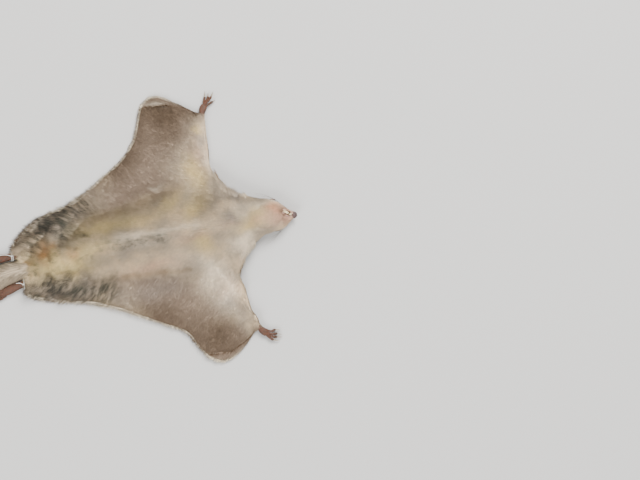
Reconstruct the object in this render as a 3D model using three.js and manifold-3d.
import * as THREE from 'three';
import { mergeVertices } from 'three/addons/utils/BufferGeometryUtils.js';
import Module from 'manifold-3d';

// A flying squirrel prepared as a museum study skin, lying on its back with its gliding skin spread.
// Millimetres, +Z up. Plan points are drawn with the nose tip at (0, 0), +X towards the nose and
// +Y towards the animal's right. The group at the end moves the origin under the middle of the whole.

// Place of the origin, under the middle of the box round the whole animal
const ORIGIN = { x: -165.5, y: 5.9 };

// Thin gap kept between one part of the body and the next, and half the width of a parting cut
const GAP = 0.3;
const HALF_CUT = GAP / 2;
// Times the gap that a swollen skin moves back at the slanting sides of its rear notch
const REAR_SHARE = 2;

// Outline of the spread skin, one row for each station from the nose to the tail root:
// midline, crease and edge on the right side, crease and edge on the left side
const STATIONS = [
  [[-0.4, 0.2], [-0.6, 1.4], [-1.2, 2.6], [-0.5, -0.9], [-0.8, -2.0]],
  [[-5, 1.0], [-5.2, 3.2], [-5.5, 5.4], [-4.9, -1.4], [-4.6, -3.9]],
  [[-10, 2.0], [-10, 6.3], [-10, 10.5], [-10, -3.0], [-10, -8.0]],
  [[-16, 2.8], [-16, 9.4], [-16.2, 16.0], [-16, -3.8], [-15.6, -10.4]],
  [[-25, 3.0], [-25, 10.5], [-25, 18.1], [-25, -3.8], [-25, -10.6]],
  [[-35, 3.0], [-35, 12.0], [-35, 22.0], [-35, -5.2], [-34.4, -14.6]],
  [[-46, 3.0], [-47, 15.0], [-46, 27.0], [-47, -8.0], [-45, -22.6]],
  [[-56, 3.2], [-57, 20.0], [-54.5, 39.5], [-56, -13.0], [-52.6, -35.0]],
  [[-63, 3.5], [-64, 23.0], [-58.2, 53.0], [-62, -15.5], [-50.8, -48.0]],
  [[-69, 3.8], [-71, 25.6], [-56.4, 72.0], [-68, -17.5], [-49.9, -61.0]],
  [[-74, 4.0], [-76, 27.6], [-55.2, 86.0], [-73, -18.4], [-47.6, -74.0]],
  [[-78, 4.3], [-80, 29.2], [-54.8, 91.2], [-77, -19.0], [-44.8, -80.0]],
  [[-82, 4.5], [-84, 30.6], [-61.0, 94.6], [-81, -19.4], [-51.0, -84.4]],
  [[-88, 4.8], [-90, 32.0], [-75.0, 105.0], [-87, -19.8], [-64.0, -96.0]],
  [[-94, 4.9], [-96, 32.4], [-89.0, 113.4], [-93, -19.9], [-77.0, -101.6]],
  [[-101, 5.0], [-102, 32.4], [-101.5, 108.8], [-99, -19.8], [-89.5, -96.4]],
  [[-108, 5.2], [-109, 32.0], [-107.5, 97.0], [-106, -19.5], [-97.0, -85.4]],
  [[-117, 5.5], [-118, 31.4], [-114.5, 81.5], [-115, -19.1], [-103.5, -73.4]],
  [[-129, 5.8], [-129, 30.6], [-127.0, 68.8], [-127, -18.6], [-118.0, -64.2]],
  [[-143, 6.0], [-142, 29.6], [-143.0, 59.3], [-140, -18.0], [-137.0, -53.0]],
  [[-157, 5.8], [-156, 28.4], [-158.0, 50.0], [-154, -17.2], [-153.0, -43.2]],
  [[-171, 4.8], [-169, 25.6], [-173.0, 43.2], [-168, -15.8], [-171.0, -35.4]],
  [[-184, 3.5], [-182, 20.0], [-189.0, 40.0], [-181, -12.0], [-188.0, -31.0]],
  [[-195, 2.4], [-195, 14.6], [-203.0, 35.4], [-193, -9.6], [-203.0, -26.4]],
  [[-204, 1.5], [-207, 10.6], [-214.5, 27.4], [-204, -7.8], [-213.5, -22.2]],
  [[-210, 1.0], [-214, 8.2], [-222.4, 19.6], [-211, -6.6], [-218.6, -17.6]],
  [[-211.5, 1.0], [-216, 7.0], [-222.6, 13.2], [-214, -5.6], [-217.6, -10.8]],
];

// Rings of the skin: two to a station over the head and arms, then one to a station
const FINE_STATIONS = 14;

// Places across a ring: 0 at the midline, 1 at the crease, 2 at the edge
const ACROSS_TOP = [2, 1.96, 1.84, 1.67, 1.5, 1.33, 1.15, 1, 0.88, 0.66, 0.35, 0];
const ACROSS_BACK = [2, 1.95, 1.7, 1.35, 1, 0.6, 0];

// Height of the belly side and of the back side along the midline, as [x, z]
const BELLY_LINE = [
  [0, 7.8], [-3, 9.2], [-7, 10.2], [-8.6, 11.2], [-10.5, 13.2], [-16, 15.6], [-24, 17.8], [-35, 19.2],
  [-46, 21.4], [-58, 25], [-75, 27.4], [-100, 28.4], [-140, 28], [-165, 26.4], [-184, 23.4],
  [-196, 18.6], [-205, 13], [-212, 9.6],
];
const BACK_LINE = [
  [0, 4.6], [-4, 3], [-10, 1.3], [-18, 0.2], [-24, 0], [-215, 0],
];

// The gliding skin with its fur: full thickness, height of its rim's middle, radius of the rim
const MEMBRANE = 3.6;
const RIM_HEIGHT = 1.9;
const RIM_RADIUS = 3.2;
// Height of the belly side at the crease beside the body, and how far the back side lifts there
const CREASE_HEIGHT = 7;
const CREASE_LIFT = 3;
// Stations between which the round head and neck pass into the flat spread skin
const NECK_START = 5.6;
const NECK_END = 8.6;

// Limbs inside the skin, as plan points with the half width and the height of each ridge
const LIMBS = {
  right: {
    shoulder: [-80, 22], elbow: [-73, 55], wrist: [-58.2, 90.5],
    hip: [-190, 12], knee: [-182, 28.5], ankle: [-220, 15.2],
    spur: [[-59.5, 92.5], [-71, 99], [-83, 103.4], [-99, 103.6]],
  },
  left: {
    shoulder: [-78, -12], elbow: [-66, -45], wrist: [-48.4, -79.2],
    hip: [-190, -5], knee: [-184, -19], ankle: [-216, -13.2],
    spur: [[-49.5, -81.5], [-60, -88.6], [-71, -93.4], [-87, -92.2]],
  },
};
const RIDGES = {
  upperArm: { halfWidth: 7.5, height: 10.5 },
  forearm: { halfWidth: 5.2, height: 7.6 },
  thigh: { halfWidth: 9.5, height: 16 },
  shank: { halfWidth: 6.2, height: 9.6 },
  spur: { halfWidth: 2.6, height: 5.4 },
};

// Lines along which the skin is parted, in plan, and a point inside each part
const RIGHT_FLANK = [
  [-57, 20.6], [-73, 26.6], [-87, 31.4], [-106, 32.2], [-132, 30.4], [-158, 28], [-166, 26.2],
  [-188, 17.6], [-213, 8.6], [-224, 5.6],
];
const LEFT_FLANK = [
  [-57, -13.4], [-68, -17.5], [-84, -19.7], [-105, -19.5], [-132, -18.3], [-157, -17], [-164, -16.2],
  [-188, -10.6], [-213, -6.2], [-222, -4.6],
];
const PARTINGS = [
  [[-36.5, 27], [-38, 14], [-38.6, 3], [-38, -8], [-36, -20]],
  [[-46.6, 35], [-57, 20.6], [-59.5, 3.5], [-57, -13.4], [-45.6, -31]],
  RIGHT_FLANK,
  LEFT_FLANK,
  [[-106, 32.2], [-108, 5], [-105, -19.5]],
  [[-158, 28], [-161, 6], [-157, -17]],
  [[-73, 26.6], [-67.5, 45], [-65.6, 55], [-60.4, 68], [-51.5, 80]],
  [[-87, 31.4], [-81.5, 45], [-79.4, 57], [-72, 73], [-63.6, 93.8]],
  [[-65.6, 55], [-79.4, 57]],
  [[-60.4, 98.6], [-63.6, 93.8], [-72, 98.4], [-83, 102.2], [-98, 102.6], [-109, 102.4]],
  [[-166, 26.2], [-171, 33], [-179, 36], [-193, 33.6], [-207, 26.4], [-217, 20.6], [-228, 17.6]],
  [[-179, 36], [-188, 17.6]],
  [[-68, -17.5], [-60.4, -33], [-57.6, -44], [-52.4, -57], [-44, -70]],
  [[-84, -19.7], [-77.4, -33], [-73, -47], [-63.4, -63], [-53.8, -83.6]],
  [[-57.6, -44], [-73, -47]],
  [[-50.8, -88.6], [-53.8, -83.6], [-62, -88.4], [-71, -92], [-87, -90.8], [-97.5, -90.4]],
  [[-164, -16.2], [-170, -23], [-179, -26], [-193, -25.2], [-206, -21.2], [-215, -17], [-224, -14]],
  [[-179, -26], [-188, -10.6]],
];
const PARTS_OF_THE_SKIN = {
  head: [-30, 3],
  neck: [-48, 3],
  chest: [-80, 4],
  abdomen: [-130, 5],
  pelvis: [-190, 3],
  propatagium_right: [-62, 40],
  propatagium_left: [-56, -35],
  upper_arm_right: [-75, 45],
  upper_arm_left: [-69, -36],
  forearm_right: [-65, 74],
  forearm_left: [-56, -64],
  patagium_right: [-110, 60],
  patagium_left: [-100, -50],
  wing_tip_right: [-85, 108],
  wing_tip_left: [-75, -97],
  thigh_right: [-176, 29],
  thigh_left: [-178, -20],
  shank_right: [-200, 20],
  shank_left: [-200, -16],
};

// Muzzle: where the nose pad ends, and the outline of the lower jaw as [x, place across the ring]
const HEAD_MIDLINE = 2.9;
const NOSE_BACK = [[-3.8, 9], [-4.6, 3], [-4.7, -0.5], [-3.4, -7]];
const NOSTRIL = { x: -0.9, middle: 0.4, apart: 3.2, z: 6.9, size: [1.3, 0.65, 0.9] };
const JAW_FLOOR = 8.4;
const JAW_OUTLINE = [
  [-8.7, 0], [-9.1, 0.4], [-10.4, 0.8], [-12.6, 1.02], [-18, 0.98], [-24, 1.06], [-28, 0.8], [-29.4, 0],
];
const JAW_MIDDLE = [-18, 2.8];
// How far the upper lip lies ahead of the mouth line, and the lower lip behind it
const LIP = { radius: 0.85, upper: 1.1, lower: -1, sunk: 0.55, widening: 0.12 };
const MOUTH = { centre: [-6.8, 1.5, 10.8], size: [2.1, 3.6, 3.6] };
const INCISOR = { halfWidth: 0.74, halfDepth: 0.5, apart: 1.35, bow: 0.15 };
const UPPER_INCISORS = { root: [-6.3, 8.3], tip: [-6.6, 11.6], middle: 1.4 };
const LOWER_INCISORS = { root: [-8.3, 11.2], tip: [-7.7, 9.4], middle: 2.2 };

// Eyes: a ball that fills each socket, lids in a ring round it
const EYE = { x: -17.2, fromMidline: 10.3, z: 6, radius: 3.7, facing: [0.12, 0.93, -0.32] };
const LID = { outward: 2.7, radius: 3.2, thickness: 0.95, narrow: 0.74 };

// Ears: a cupped leaf folded back beside the neck, its line given for the right side
const EAR = {
  line: [[-28.5, 11.4, 4.4], [-38, 16.2, 3.2], [-47.5, 18.6, 2.1]],
  widths: [1.9, 5, 6.2, 6.2, 5.3, 1.9],
  heights: [1.2, 1.5, 1.5, 1.4, 1.2, 0.6],
  cup: { outward: 0.5, up: 1.1, width: 0.78, height: 0.8 },
};

// Feet: the sole or palm as a line, then the digits, each as its joints and the tip of its claw
const FOREFEET = {
  right: {
    palm: [[-58, 88, 3.4], [-56.4, 93.5, 3.2], [-53.6, 99.2, 2.8]],
    digits: [
      [[-55.2, 97], [-53.4, 101.5], [-52.1, 104.6], [-51, 109.4]],
      [[-54, 98.4], [-51.2, 101.6], [-49.4, 104.4], [-48.8, 107.4]],
      [[-53, 98.6], [-49.9, 101.2], [-47, 103.8], [-45, 107.4]],
      [[-53.4, 96.6], [-49.6, 98.6], [-46.8, 99.7], [-44.4, 100.6]],
    ],
  },
  left: {
    palm: [[-48.6, -77, 3.4], [-45.8, -82.6, 3.2], [-41.8, -87.4, 2.8]],
    digits: [
      [[-44, -82.4], [-38.6, -85.4], [-35, -84.9], [-31.4, -86.2]],
      [[-42.4, -85.8], [-37.8, -87.9], [-34.4, -88.4], [-30.9, -89.7]],
      [[-42, -87.4], [-38.2, -89.9], [-35.2, -91], [-30.6, -91.8]],
      [[-43, -87.6], [-40.2, -90.9], [-38.3, -92.5], [-33.4, -94.6]],
    ],
  },
};
const HINDFEET = {
  right: {
    sole: [[-219, 13.8, 4.2], [-227, 13.2, 3.8], [-236, 13.2, 2.9], [-243, 13.4, 2.4]],
    digits: [
      [[-238, 16], [-243, 16.8], [-246.2, 17], [-249, 17.2]],
      [[-240, 14.8], [-245, 15.4], [-248.6, 15.6], [-251.6, 15.6]],
      [[-240, 13.4], [-246, 13.7], [-249.6, 13.8], [-252.6, 13.6]],
      [[-240, 12], [-245.6, 12], [-249.2, 11.8], [-252.2, 11.4]],
      [[-238, 10.8], [-242.6, 10.2], [-245.6, 9.8], [-248.4, 9.2]],
    ],
  },
  left: {
    sole: [[-214, -10.2, 4.2], [-223, -10.2, 3.8], [-232, -12, 2.9], [-240, -14, 2.4]],
    digits: [
      [[-235.6, -16], [-240.6, -17.8], [-243.8, -18.4], [-246.6, -18.8]],
      [[-237.2, -15.2], [-243, -16.8], [-246.8, -17.4], [-249.6, -17.6]],
      [[-237.4, -14], [-243.6, -15.4], [-247.6, -16], [-250.6, -16.2]],
      [[-237.4, -12.6], [-243, -13.6], [-246.6, -14.2], [-249.6, -14.4]],
      [[-235.6, -10.8], [-240, -11.4], [-243, -12], [-245.8, -12.4]],
    ],
  },
};
const FOREFOOT = {
  widths: [2.3, 2.7, 3.1, 3.5, 2.4],
  heights: [2.2, 2.1, 1.9, 1.7, 1.2],
  toeRadius: 1.15,
  toeHeight: 2.6,
};
const HINDFOOT = {
  widths: [3.1, 3.2, 3.5, 3.9, 4, 3],
  heights: [2.8, 2.7, 2.4, 2.2, 1.9, 1.3],
  toeRadius: 1.2,
  toeHeight: 2.4,
};
// Shares of the radius at equal steps, and how far each point lies below the height of the toe
const TOE = { widths: [0.9, 1, 0.85, 1.05, 0.9, 0.5], heights: [1, 0.9, 0.6], falls: [0, 0.2, 0.9] };
const CLAW = {
  radius: 0.6,
  widths: [0.9, 0.8, 0.5, 0.15],
  heights: [1.1, 1.1, 0.8, 0.2],
  falls: [0.5, 0.5, 1.7],
};

// Tail: the middle line, the reach of its flat fur on each side, and half its height
const TAIL_LINE = [
  [-208, 1.6], [-228, 1], [-248, -2], [-268, -6.2], [-288, -13.4], [-308, -22.6], [-331, -29],
];
const TAIL_RIGHT = [7, 8.2, 14, 15, 14.2, 8, 0.6];
const TAIL_LEFT = [7, 9, 14.6, 15, 14.4, 7.6, 0.6];
const TAIL_HALF_HEIGHT = [4.6, 4.2, 3.8, 3.5, 3, 2.2, 1];
// The core's share of the reach and of the length, and the flat locks of fur that grow from it
const TAIL_CORE = { reach: 0.4, length: 0.9, rootReach: 0.9, height: 0.85 };
const LOCKS = {
  perSide: 20,
  first: 0.12,
  last: 0.97,
  lean: 18,
  rise: 0.8,
  widths: [2.4, 3.4, 3.2, 2, 0.5],
  heights: [1.2, 1.2, 0.95, 0.65, 0.25],
};
const TAIL_END = [0.8, 0.9, 1];

// Tying thread round each ankle, with loose ends
const THREAD = { radius: 0.4, sideways: [0.4, 4.4, 0], upwards: [0.5, 0, 3.4], looseHeight: 7.2, fall: 0.5 };
const THREADS = {
  right: {
    loops: [[-224.4, 13.3, 3.9], [-225.6, 13.2, 3.8]],
    loose: [[-225, 13.4], [-229, 15.2], [-234.5, 16]],
  },
  left: {
    loops: [[-220.4, -10.1, 3.9]],
    loose: [[-220.6, -10.2], [-223, -8.6], [-226, -8.2]],
  },
};

const COLOURS = {
  belly: '#b9b0a0', membrane: '#8d8073', tail: '#a79a87', skin: '#8a5a45', nose: '#5c3b35',
  ear: '#8f6c5b', cotton: '#d8d3c6', tooth: '#d9cfb4', thread: '#e6e3da',
};

const UP = new THREE.Vector3(0, 0, 1);
const wasm = await Module();
wasm.setup();

// Turns a closed geometry into a solid that can be joined and cut
function toSolid(geometry) {
  geometry.deleteAttribute('normal');
  geometry.deleteAttribute('uv');
  const merged = mergeVertices(geometry, 1e-4);
  const vertProperties = new Float32Array(merged.attributes.position.array);
  const triVerts = new Uint32Array(merged.index.array);
  return new wasm.Manifold(new wasm.Mesh({ numProp: 3, vertProperties, triVerts }));
}

// A closed geometry from a list of points and a list of triangles
function closedGeometry(points, triangles) {
  const geometry = new THREE.BufferGeometry();
  geometry.setAttribute('position', new THREE.Float32BufferAttribute(points.flat(), 3));
  geometry.setIndex(triangles.flat());
  return geometry;
}

// The largest closed body of a solid, without loose scraps or sealed hollows
function largest(solid) {
  const bodies = solid.decompose();
  bodies.sort((a, b) => b.volume() - a.volume());
  return bodies[0];
}

function join(solids) {
  return solids.reduce((whole, solid) => whole.add(solid));
}

function mix(a, b, t) {
  return a + (b - a) * t;
}

function smooth(t) {
  const c = THREE.MathUtils.clamp(t, 0, 1);
  return c * c * (3 - 2 * c);
}

// Value at x of a smooth line through [x, value] points whose x only falls
function onLine(line, x) {
  let k = 0;
  while (k < line.length - 2 && x < line[k + 1][0]) {
    k += 1;
  }
  const slope = (i) => {
    const before = line[Math.max(i - 1, 0)];
    const after = line[Math.min(i + 1, line.length - 1)];
    return (after[1] - before[1]) / (after[0] - before[0]);
  };
  const [x0, z0] = line[k];
  const [x1, z1] = line[k + 1];
  const span = x1 - x0;
  const t = THREE.MathUtils.clamp((x - x0) / span, 0, 1);
  const t2 = t * t;
  const t3 = t2 * t;
  const ends = (2 * t3 - 3 * t2 + 1) * z0 + (3 * t2 - 2 * t3) * z1;
  return ends + (t3 - 2 * t2 + t) * span * slope(k) + (t3 - t2) * span * slope(k + 1);
}

// Value at t, from 0 to 1, of a list of equally spaced values
function spaced(values, t) {
  const place = THREE.MathUtils.clamp(t, 0, 1) * (values.length - 1);
  const k = Math.min(Math.floor(place), values.length - 2);
  return mix(values[k], values[k + 1], place - k);
}

// Nearest distance in plan from a point to a line of points
function distanceTo(line, point) {
  let nearest = Infinity;
  for (let k = 0; k < line.length - 1; k += 1) {
    const [ax, ay] = line[k];
    const [bx, by] = line[k + 1];
    const along = (point.x - ax) * (bx - ax) + (point.y - ay) * (by - ay);
    const t = THREE.MathUtils.clamp(along / ((bx - ax) ** 2 + (by - ay) ** 2), 0, 1);
    nearest = Math.min(nearest, Math.hypot(point.x - mix(ax, bx, t), point.y - mix(ay, by, t)));
  }
  return nearest;
}

// Five guide curves of the spread skin, one for each column of the stations
const GUIDES = [0, 1, 2, 3, 4].map((column) => {
  const points = STATIONS.map((row) => new THREE.Vector3(row[column][0], row[column][1], 0));
  return new THREE.CatmullRomCurve3(points, false, 'centripetal');
});
const LAST_STATION = STATIONS.length - 1;

const LIMB_RIDGES = Object.values(LIMBS).flatMap((limb) => [
  { line: [limb.shoulder, limb.elbow], ...RIDGES.upperArm },
  { line: [limb.elbow, limb.wrist], ...RIDGES.forearm },
  { line: [limb.hip, limb.knee], ...RIDGES.thigh },
  { line: [limb.knee, limb.ankle], ...RIDGES.shank },
  { line: limb.spur, ...RIDGES.spur },
]);

// One point of the skin's two faces: plan place, height of the belly side and of the back side.
// station runs from 0 at the nose, across from -2 at the left edge to 2 at the right edge.
function skinAt(station, across) {
  const u = station / LAST_STATION;
  const middle = GUIDES[0].getPoint(u);
  const crease = GUIDES[across >= 0 ? 1 : 3].getPoint(u);
  const edge = GUIDES[across >= 0 ? 2 : 4].getPoint(u);
  const reach = Math.abs(across);
  const place = reach <= 1
    ? middle.clone().lerp(crease, reach)
    : crease.clone().lerp(edge, reach - 1);
  const bellyHeight = onLine(BELLY_LINE, middle.x);
  const backHeight = Math.max(onLine(BACK_LINE, middle.x), 0);

  const flat = smooth((station - NECK_START) / (NECK_END - NECK_START));
  const halfWidth = edge.distanceTo(middle);
  const rimHeight = mix((bellyHeight + backHeight) / 2, RIM_HEIGHT, flat);
  const rimRadius = mix(halfWidth, RIM_RADIUS, flat);
  const fromEdge = Math.min(place.distanceTo(edge) / rimRadius, 1);
  const rim = Math.sqrt(1 - (1 - fromEdge) ** 2);

  const inward = Math.max(1 - reach, 0);
  const lift = CREASE_LIFT * (reach <= 1 ? smooth((reach - 0.6) / 0.4) : 2 - reach);
  const dome = Math.sin(Math.PI / 2 * inward) ** 0.8;
  const creaseBank = smooth((1.3 - reach) / 0.3) * (CREASE_HEIGHT - MEMBRANE - CREASE_LIFT);
  const plain = mix(lift + MEMBRANE + creaseBank, bellyHeight, dome);
  const bulges = LIMB_RIDGES.map((ridge) => (
    ridge.height * Math.exp(-((distanceTo(ridge.line, place) / ridge.halfWidth) ** 2))
  ));
  const spread = bulges.reduce((sum, bulge) => sum + bulge ** 4, plain ** 4) ** 0.25;
  const top = rimHeight + (mix(bellyHeight, spread, flat) - rimHeight) * rim;
  const bottom = rimHeight + (mix(backHeight, lift, flat) - rimHeight) * rim;
  return { place, top, bottom };
}

// The whole spread skin as one closed body; grow swells it to trim what lies beside it, evenly
// all round and straight back at the notch of its rear, where the tail grows
function spreadSkin(grow) {
  const across = [
    ...ACROSS_TOP.map((a) => ({ a, face: 1 })),
    ...ACROSS_TOP.slice(0, -1).reverse().map((a) => ({ a: -a, face: 1 })),
    ...ACROSS_BACK.slice(1).map((a) => ({ a: -a, face: -1 })),
    ...ACROSS_BACK.slice(1, -1).reverse().map((a) => ({ a, face: -1 })),
  ];
  const stations = [];
  for (let station = 0; station <= LAST_STATION; station += station < FINE_STATIONS ? 0.5 : 1) {
    stations.push(station);
  }
  const rings = stations.length;
  const points = [];
  for (const station of stations) {
    for (const { a, face } of across) {
      const { place, top, bottom } = skinAt(station, a);
      points.push([place.x, place.y, face > 0 ? top : bottom]);
    }
  }
  const count = across.length;
  const triangles = [];
  for (let i = 0; i < rings - 1; i += 1) {
    for (let j = 0; j < count; j += 1) {
      const next = (j + 1) % count;
      const near = i * count;
      const far = near + count;
      triangles.push([near + j, far + j, far + next], [near + j, far + next, near + next]);
    }
  }
  const front = points.length;
  const rear = front + 1;
  const first = skinAt(0, 0);
  const last = skinAt(LAST_STATION, 0);
  points.push([first.place.x + 0.4, first.place.y, (first.top + first.bottom) / 2]);
  points.push([last.place.x, last.place.y, (last.top + last.bottom) / 2]);
  const lastRing = (rings - 1) * count;
  for (let j = 0; j < count; j += 1) {
    const next = (j + 1) % count;
    triangles.push([front, j, next], [rear, lastRing + next, lastRing + j]);
  }
  const geometry = closedGeometry(points, triangles);
  geometry.computeVertexNormals();
  const { position, normal } = geometry.attributes;
  for (let k = 0; k < position.count; k += 1) {
    const moved = new THREE.Vector3().fromBufferAttribute(position, k);
    const outward = new THREE.Vector3().fromBufferAttribute(normal, k);
    if (k >= lastRing && k !== front) {
      outward.set(-REAR_SHARE, 0, Math.sign(outward.z));
    }
    moved.addScaledVector(outward, grow);
    position.setXYZ(k, moved.x, moved.y, moved.z);
  }
  return toSolid(geometry);
}

// A closed body carried along a smooth line: an oval that lies flat, whose half widths and half
// heights are given at equal steps, with a point at each end
function sweep(line, widths, heights, { steps = 8, sides = 8, grow = 0, flat = UP } = {}) {
  const corners = line.map((p) => new THREE.Vector3(...p));
  const curve = new THREE.CatmullRomCurve3(corners, false, 'centripetal');
  const points = [];
  const triangles = [];
  for (let i = 1; i < steps; i += 1) {
    const t = (1 - Math.cos(Math.PI * i / steps)) / 2;
    const along = curve.getTangentAt(t);
    const side = new THREE.Vector3().crossVectors(flat, along).normalize();
    const over = new THREE.Vector3().crossVectors(along, side);
    const centre = curve.getPointAt(t);
    for (let j = 0; j < sides; j += 1) {
      const turn = 2 * Math.PI * j / sides;
      const point = centre.clone();
      point.addScaledVector(side, (spaced(widths, t) + grow) * Math.cos(turn));
      point.addScaledVector(over, (spaced(heights, t) + grow) * Math.sin(turn));
      points.push(point.toArray());
    }
  }
  for (let i = 0; i < steps - 2; i += 1) {
    for (let j = 0; j < sides; j += 1) {
      const next = (j + 1) % sides;
      const near = i * sides;
      const far = near + sides;
      triangles.push([near + j, far + next, far + j], [near + j, near + next, far + next]);
    }
  }
  const start = curve.getPoint(0).addScaledVector(curve.getTangent(0), -grow);
  const end = curve.getPoint(1).addScaledVector(curve.getTangent(1), grow);
  const startIndex = points.push(start.toArray()) - 1;
  const endIndex = points.push(end.toArray()) - 1;
  const lastRing = (steps - 2) * sides;
  for (let j = 0; j < sides; j += 1) {
    const next = (j + 1) % sides;
    triangles.push([startIndex, next, j], [endIndex, lastRing + j, lastRing + next]);
  }
  return toSolid(closedGeometry(points, triangles));
}

// A closed loop of thread or lid: a round tube along an oval set in the plane of two directions
function loop(centre, first, second, radius, sides = 6, steps = 16) {
  const points = [];
  const triangles = [];
  const axis = new THREE.Vector3().crossVectors(first, second).normalize();
  for (let i = 0; i < steps; i += 1) {
    const round = 2 * Math.PI * i / steps;
    const spoke = first.clone().multiplyScalar(Math.cos(round)).addScaledVector(second, Math.sin(round));
    const outward = spoke.clone().normalize();
    for (let j = 0; j < sides; j += 1) {
      const turn = 2 * Math.PI * j / sides;
      const point = centre.clone().add(spoke);
      point.addScaledVector(outward, radius * Math.cos(turn));
      point.addScaledVector(axis, radius * Math.sin(turn));
      points.push(point.toArray());
    }
  }
  for (let i = 0; i < steps; i += 1) {
    for (let j = 0; j < sides; j += 1) {
      const next = (j + 1) % sides;
      const near = i * sides;
      const far = ((i + 1) % steps) * sides;
      triangles.push([near + j, far + j, far + next], [near + j, far + next, near + next]);
    }
  }
  return toSolid(closedGeometry(points, triangles));
}

function ball(centre, size, grow = 0, [around, down] = [10, 7]) {
  const geometry = new THREE.SphereGeometry(1, around, down);
  geometry.scale(size[0] + grow, size[1] + grow, size[2] + grow);
  geometry.translate(...centre);
  return toSolid(geometry);
}

// An upright wall over a plan line, thin enough to part the skin
function wall(line, halfWidth) {
  const turned = line.map((point, k) => {
    const before = new THREE.Vector2(...line[Math.max(k - 1, 0)]);
    const here = new THREE.Vector2(...point);
    const after = new THREE.Vector2(...line[Math.min(k + 1, line.length - 1)]);
    const into = here.clone().sub(before).normalize();
    const out = after.clone().sub(here).normalize();
    const along = into.add(out).normalize();
    const past = (k === line.length - 1 ? 1 : 0) - (k === 0 ? 1 : 0);
    here.addScaledVector(along, past * halfWidth * 0.6);
    return { here, across: new THREE.Vector2(-along.y, along.x) };
  });
  const near = turned.map(({ here, across }) => here.clone().addScaledVector(across, halfWidth));
  const far = turned.map(({ here, across }) => here.clone().addScaledVector(across, -halfWidth));
  return prism([...near, ...far.reverse()], -5, 60);
}

// A plan outline raised from one height to another
function prism(outline, low, high) {
  const raised = { depth: high - low, bevelEnabled: false };
  const geometry = new THREE.ExtrudeGeometry(new THREE.Shape(outline), raised);
  geometry.translate(0, 0, low);
  return toSolid(geometry);
}

// The station whose midline has the given x
function stationAt(x) {
  let low = 0;
  let high = LAST_STATION;
  for (let k = 0; k < 40; k += 1) {
    const half = (low + high) / 2;
    if (GUIDES[0].getPoint(half / LAST_STATION).x > x) {
      low = half;
    } else {
      high = half;
    }
  }
  return low;
}

const whole = spreadSkin(0);
const grown = spreadSkin(GAP * 1.2).add(whole);

// The skin parted along its seams, each part found by a point inside it
function partedSkin() {
  const walls = [...PARTINGS, NOSE_BACK].map((line) => wall(line, HALF_CUT));
  const pieces = whole.subtract(join(walls)).decompose();
  const pick = ([x, y]) => {
    const needle = ball([x, y, 10], [0.2, 0.2, 40], 0, [4, 3]);
    return pieces.find((piece) => piece.intersect(needle).volume() > 1e-3);
  };
  const places = Object.entries(PARTS_OF_THE_SKIN);
  const parts = Object.fromEntries(places.map(([name, place]) => [name, pick(place)]));
  parts.nose = pick([-2.4, 0.6]);
  return parts;
}

// Outline of the lower jaw in plan, from the middle of the lip back to the throat and round again
function jawOutline(grow) {
  const side = (sign) => JAW_OUTLINE.map(([x, across]) => {
    const { place } = skinAt(stationAt(x), sign * across);
    const centre = new THREE.Vector3(...JAW_MIDDLE, 0);
    const away = place.clone().sub(centre).normalize();
    return new THREE.Vector2(place.x + away.x * grow, place.y + away.y * grow);
  });
  const right = side(1);
  const left = side(-1).slice(1, -1).reverse();
  const corners = [...right, ...left].map((p) => new THREE.Vector3(p.x, p.y, 0));
  const curve = new THREE.CatmullRomCurve3(corners, true);
  return curve.getPoints(44).slice(0, -1).map((p) => new THREE.Vector2(p.x, p.y));
}

// A lip along the front of the mouth line, set in from it or out from it
function lip(offset) {
  const right = JAW_OUTLINE.slice(0, 4);
  const left = right.map(([x, across]) => [x, -across]);
  const path = [...right.slice(1).reverse(), ...left];
  const line = path.map(([x, across]) => {
    const { place, top } = skinAt(stationAt(x + offset), across * (1 + offset * LIP.widening));
    return [place.x, place.y, top - LIP.radius * LIP.sunk];
  });
  const swell = [0.2, 1, 1, 1, 1, 1, 0.2].map((share) => share * LIP.radius);
  return sweep(line, swell, swell, { steps: 11, sides: 5 });
}

function incisors({ root, tip, middle }) {
  const teeth = [-1, 1].map((sign) => {
    const y = middle + sign * INCISOR.apart / 2;
    const between = [(root[0] + tip[0]) / 2 + INCISOR.bow, y, (root[1] + tip[1]) / 2];
    const line = [[root[0], y, root[1]], between, [tip[0], y, tip[1]]];
    const widths = [0.8, 1, 1, 0.75].map((share) => share * INCISOR.halfWidth);
    const depths = [0.8, 1, 0.8, 0.35].map((share) => share * INCISOR.halfDepth);
    return sweep(line, widths, depths, { steps: 6, sides: 6 });
  });
  return join(teeth);
}

function eyeCentre(sign) {
  return new THREE.Vector3(EYE.x, HEAD_MIDLINE + sign * EYE.fromMidline, EYE.z);
}

function eyeBall(sign, grow = 0) {
  return ball(eyeCentre(sign).toArray(), [EYE.radius, EYE.radius, EYE.radius], grow);
}

function lids(sign) {
  const facing = new THREE.Vector3(EYE.facing[0], sign * EYE.facing[1], EYE.facing[2]).normalize();
  const along = new THREE.Vector3(1, 0, 0).addScaledVector(facing, -facing.x).normalize();
  const over = new THREE.Vector3().crossVectors(facing, along).multiplyScalar(LID.radius * LID.narrow);
  const centre = eyeCentre(sign).addScaledVector(facing, LID.outward);
  return loop(centre, along.multiplyScalar(LID.radius), over, LID.thickness, 5, 14);
}

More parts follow.
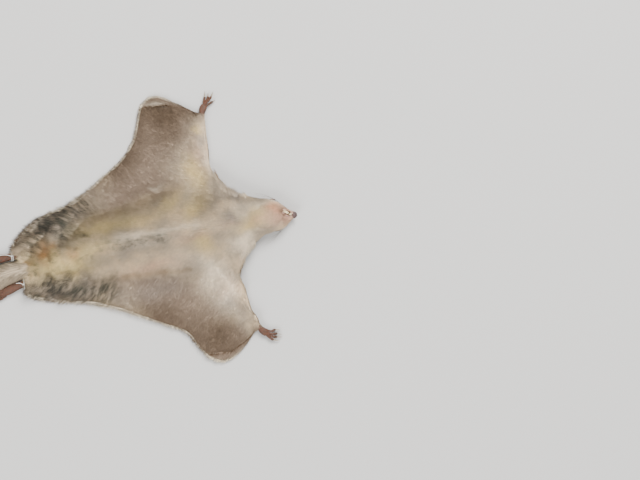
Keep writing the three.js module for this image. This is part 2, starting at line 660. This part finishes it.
function ear(sign) {
  const { widths, heights, cup } = EAR;
  const line = EAR.line.map(([x, y, z]) => [x, HEAD_MIDLINE + sign * (y - HEAD_MIDLINE), z]);
  const leaf = sweep(line, widths, heights, { steps: 10, sides: 12 });
  const cupLine = line.map(([x, y, z]) => [x, y + sign * cup.outward, z + cup.up]);
  const cupWidths = widths.map((width) => width * cup.width);
  const cupHeights = heights.map((height) => height * cup.height);
  const hollow = sweep(cupLine, cupWidths, cupHeights, { steps: 10, sides: 12 });
  return largest(leaf.subtract(hollow).subtract(grown));
}

// A digit from its first joint to the tip of its claw, low at the claw
function digit([root, knuckle, tip, claw], { toeRadius, toeHeight }, grow) {
  const toeLine = [root, knuckle, tip].map(([x, y], k) => [x, y, toeHeight - TOE.falls[k]]);
  const toeWidths = TOE.widths.map((share) => share * toeRadius);
  const toeHeights = TOE.heights.map((share) => share * toeRadius);
  const toe = sweep(toeLine, toeWidths, toeHeights, { steps: 5, sides: 6, grow });
  const start = [mix(knuckle[0], tip[0], 0.7), mix(knuckle[1], tip[1], 0.7)];
  const halfway = [mix(tip[0], claw[0], 0.4), mix(tip[1], claw[1], 0.4)];
  const clawLine = [start, halfway, claw].map(([x, y], k) => [x, y, toeHeight - CLAW.falls[k]]);
  const clawWidths = CLAW.widths.map((share) => share * CLAW.radius);
  const clawHeights = CLAW.heights.map((share) => share * CLAW.radius);
  const hook = sweep(clawLine, clawWidths, clawHeights, { steps: 4, sides: 5, grow });
  return toe.add(hook);
}

// A palm or sole with its digits
function foot(sole, digits, size, steps, grow) {
  const flesh = sweep(sole, size.widths, size.heights, { steps, sides: 8, grow });
  return join([flesh, ...digits.map((joints) => digit(joints, size, grow))]);
}

function forefoot({ palm, digits }, grow = 0) {
  return foot(palm, digits, FOREFOOT, 7, grow);
}

function hindfoot({ sole, digits }, grow = 0) {
  return foot(sole, digits, HINDFOOT, 8, grow);
}

// Draws numbers between 0 and 1, the same ones each time
function seededDraw(seed) {
  let state = seed;
  return () => {
    state = (Math.imul(state, 1664525) + 1013904223) >>> 0;
    return state / 2 ** 32;
  };
}

const tailPoints = TAIL_LINE.map(([x, y]) => new THREE.Vector3(x, y, 0));
const TAIL_CURVE = new THREE.CatmullRomCurve3(tailPoints, false, 'centripetal');

// A point of the tail: t from its root to its tip, share of the reach to one side, and height
function tailPoint(t, sign, share, z) {
  const place = THREE.MathUtils.clamp(t, 0, 1);
  const centre = TAIL_CURVE.getPointAt(place);
  const outward = new THREE.Vector3().crossVectors(TAIL_CURVE.getTangentAt(place), UP);
  const reach = spaced(sign > 0 ? TAIL_RIGHT : TAIL_LEFT, t);
  centre.addScaledVector(outward, sign * share * reach);
  return [centre.x, centre.y, z];
}

// The tail's narrow core, wide at its root where the fur is short
function tailCore() {
  const stops = [0, 0.1, 0.25, 0.4, 0.55, 0.7, 0.85, 1];
  const line = stops.map((stop) => {
    const t = stop * TAIL_CORE.length;
    return tailPoint(t, 1, 0, TAIL_CORE.height * spaced(TAIL_HALF_HEIGHT, t) + 0.2);
  });
  const widths = stops.map((stop) => {
    const share = mix(TAIL_CORE.rootReach, TAIL_CORE.reach, smooth(stop / 0.3));
    return share * (spaced(TAIL_RIGHT, stop) + spaced(TAIL_LEFT, stop)) / 2;
  });
  const heights = stops.map((stop) => TAIL_CORE.height * spaced(TAIL_HALF_HEIGHT, stop * TAIL_CORE.length));
  return sweep(line, widths, heights, { steps: 16, sides: 10 });
}

// Flat locks of fur down each side of the tail, each rooted in the core, bent back towards the tip
// and lying over the one behind it, with one along the end of the tail
function tailLocks() {
  const draw = seededDraw(7);
  const length = TAIL_CURVE.getLength();
  const { widths, heights } = LOCKS;
  const locks = [];
  for (const sign of [1, -1]) {
    for (let k = 0; k < LOCKS.perSide; k += 1) {
      const tip = mix(LOCKS.first, LOCKS.last, (k + 0.5 * (sign > 0)) / LOCKS.perSide);
      const root = tip - LOCKS.lean * (0.9 + 0.2 * draw()) / length;
      const reach = 0.96 + 0.08 * draw();
      const height = spaced(TAIL_HALF_HEIGHT, root);
      const high = height * 1.3 + (k % 2) * LOCKS.rise;
      const line = [
        tailPoint(root, sign, 0.05, high),
        tailPoint(mix(root, tip, 0.45), sign, 0.58 * reach, high * 0.8),
        tailPoint(tip, sign, reach, heights[0] + 0.4 + (k % 2) * LOCKS.rise),
      ];
      locks.push(sweep(line, widths, heights, { steps: 5, sides: 4 }));
    }
  }
  const end = TAIL_END.map((t) => tailPoint(t, 1, 0, 1.9));
  locks.push(sweep(end, widths, heights, { steps: 5, sides: 4 }));
  return locks;
}

// Turns of thread round an ankle with one loose end over the foot
function tiedThread({ loops, loose }, grow = 0) {
  const radius = THREAD.radius + grow;
  const sideways = new THREE.Vector3(...THREAD.sideways);
  const upwards = new THREE.Vector3(...THREAD.upwards);
  const turns = loops.map((centre) => loop(new THREE.Vector3(...centre), sideways, upwards, radius, 5, 16));
  const end = loose.map(([x, y], k) => [x, y, THREAD.looseHeight - THREAD.fall * k]);
  return join([...turns, sweep(end, [radius, radius], [radius, radius], { steps: 6, sides: 5 })]);
}

function headWithDetails(head) {
  const jawHollow = prism(jawOutline(GAP), JAW_FLOOR - GAP, 40);
  const eyes = [1, -1].map((sign) => eyeBall(sign, GAP));
  return largest(join([head, lip(LIP.upper), lids(1), lids(-1)])
    .subtract(jawHollow)
    .subtract(ball(MOUTH.centre, MOUTH.size))
    .subtract(wall(NOSE_BACK, HALF_CUT))
    .subtract(join(eyes)));
}

function lowerJaw() {
  const jaw = whole.add(lip(LIP.lower)).intersect(prism(jawOutline(0), JAW_FLOOR, 40));
  return largest(jaw);
}

function noseWithNostrils(nose) {
  const nostrils = [-1, 1].map((sign) => {
    const centre = [NOSTRIL.x, NOSTRIL.middle + sign * NOSTRIL.apart / 2, NOSTRIL.z];
    return ball(centre, NOSTRIL.size, 0, [6, 5]);
  });
  return largest(nose.subtract(join(nostrils)).subtract(ball(MOUTH.centre, MOUTH.size, GAP)));
}

const skinParts = partedSkin();
skinParts.head = headWithDetails(skinParts.head);
skinParts.nose = noseWithNostrils(skinParts.nose);

const group = new THREE.Group();
group.position.set(-ORIGIN.x, -ORIGIN.y, 0);

// Adds one part of the body to the group as a named mesh
function addPart(name, solid, colour, roughness) {
  const { vertProperties, triVerts } = solid.getMesh();
  const geometry = new THREE.BufferGeometry();
  geometry.setAttribute('position', new THREE.BufferAttribute(vertProperties, 3));
  geometry.setIndex(new THREE.BufferAttribute(triVerts, 1));
  geometry.computeVertexNormals();
  const material = new THREE.MeshStandardMaterial({ color: colour, roughness, metalness: 0 });
  const mesh = new THREE.Mesh(geometry, material);
  mesh.name = name;
  group.add(mesh);
}

for (const [name, solid] of Object.entries(skinParts)) {
  const membrane = /patagium|wing_tip/.test(name);
  const colour = name === 'nose' ? COLOURS.nose : membrane ? COLOURS.membrane : COLOURS.belly;
  addPart(name, largest(solid), colour, name === 'nose' ? 0.5 : 0.95);
}
addPart('lower_jaw', lowerJaw(), COLOURS.belly, 0.95);
addPart('incisors_upper', incisors(UPPER_INCISORS), COLOURS.tooth, 0.35);
addPart('incisors_lower', incisors(LOWER_INCISORS), COLOURS.tooth, 0.35);
for (const [side, sign] of [['right', 1], ['left', -1]]) {
  const hindFoot = hindfoot(HINDFEET[side]);
  addPart(`eye_${side}`, eyeBall(sign), COLOURS.cotton, 0.95);
  addPart(`ear_${side}`, ear(sign), COLOURS.ear, 0.8);
  addPart(`forefoot_${side}`, largest(forefoot(FOREFEET[side]).subtract(grown)), COLOURS.skin, 0.6);
  addPart(`hindfoot_${side}`, largest(hindFoot.subtract(grown)), COLOURS.skin, 0.6);
  const thread = tiedThread(THREADS[side]).subtract(hindfoot(HINDFEET[side], GAP)).subtract(grown);
  addPart(`thread_${side}`, largest(thread), COLOURS.thread, 0.9);
}

const besideTail = join([
  grown,
  ...['right', 'left'].flatMap((side) => [hindfoot(HINDFEET[side], GAP), tiedThread(THREADS[side], GAP)]),
]);
addPart('tail', largest(join([tailCore(), ...tailLocks()]).subtract(besideTail)), COLOURS.tail, 0.95);

export default group;
